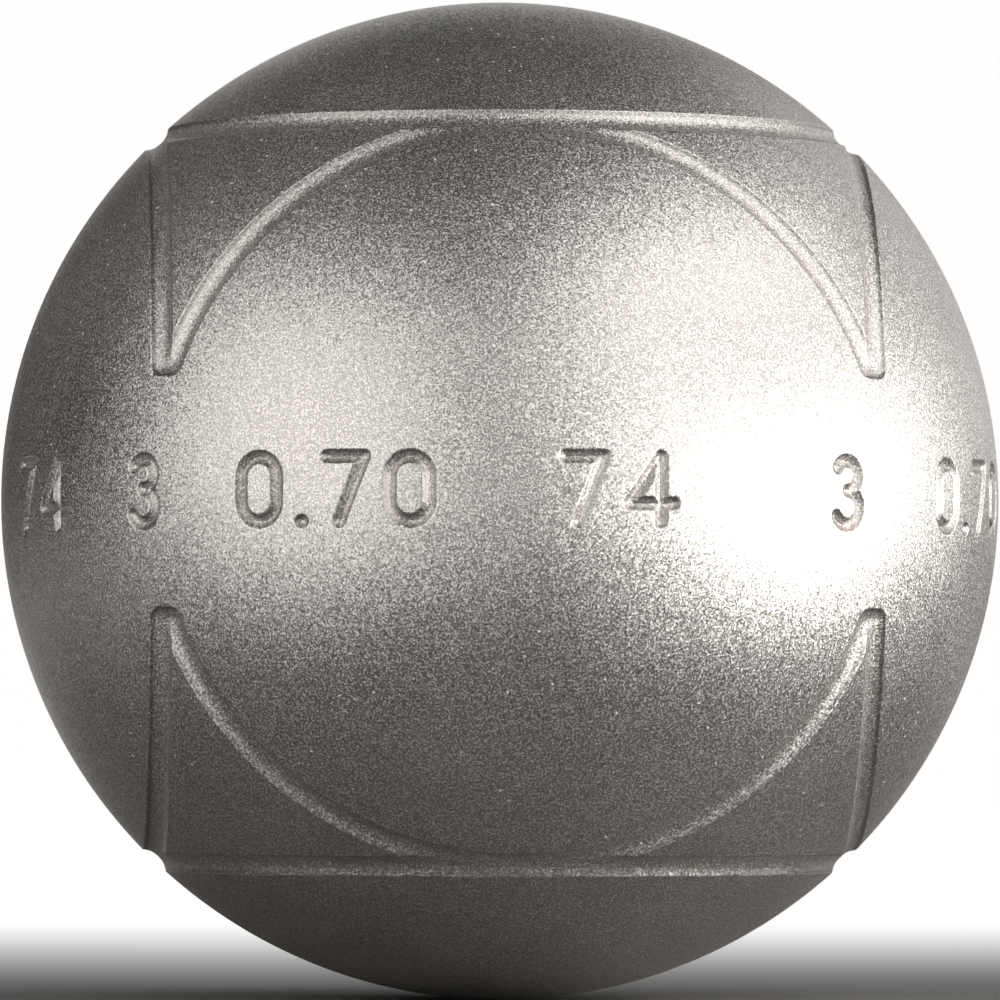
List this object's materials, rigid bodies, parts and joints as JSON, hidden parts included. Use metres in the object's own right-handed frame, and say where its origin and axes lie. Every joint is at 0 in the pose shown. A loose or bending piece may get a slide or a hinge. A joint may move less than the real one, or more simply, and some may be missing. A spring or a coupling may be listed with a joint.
{
  "type": "petanque boule",
  "caption": "Hollow welded steel throwing ball for petanque, with round-bottomed ring grooves cut in a blasted surface and a clear band about the middle for markings.",
  "frame": {"origin": "centre of the ball, in the plane of the weld", "axes": "+Z along the pole axis, square to the weld plane; -Y through the middle of the ring groove that faces the camera; +X to its right"},
  "size_m": [0.074, 0.074, 0.074],
  "materials": {
    "blasted_steel": "bead-blasted satin grey steel",
    "weld_steel": "as welded, dull dark grey"
  },
  "bodies": {
    "root": {"upper_half_shell": "blasted_steel", "lower_half_shell": "blasted_steel", "root_weld_run": "weld_steel", "cap_weld_run": "blasted_steel"}
  },
  "joints": []
}
